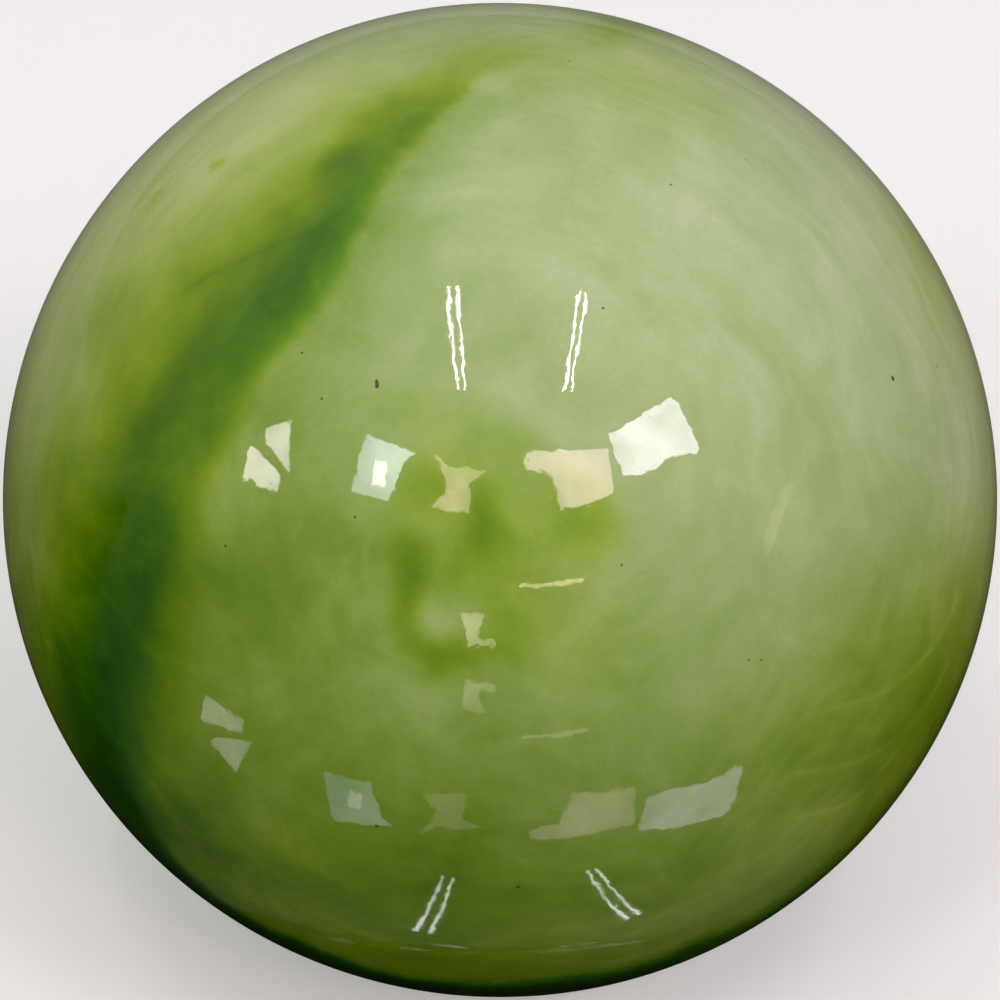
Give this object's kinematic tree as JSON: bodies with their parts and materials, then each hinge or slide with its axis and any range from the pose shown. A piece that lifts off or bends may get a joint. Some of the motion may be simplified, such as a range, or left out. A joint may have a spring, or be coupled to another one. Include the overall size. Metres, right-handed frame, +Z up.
{
  "type": "croquet ball",
  "caption": "Polished croquet ball with a marbled green cast-resin cover over a light round core, held central by a barbed pin whose hole is closed by a flush resin plug.",
  "frame": {"origin": "centre of the ball", "axes": "+Y along the core pin, from the ball's centre out through the plug; +Z up; +X to the right when looking along +Y"},
  "size_m": [0.092, 0.092, 0.092],
  "materials": {
    "cover_resin": "polished",
    "core_filler": "matte",
    "pin_nylon": "satin",
    "plug_resin": "polished"
  },
  "bodies": {
    "root": {"cover": "cover_resin", "core": "core_filler", "core_pin": "pin_nylon", "pin_plug": "plug_resin"}
  },
  "joints": []
}
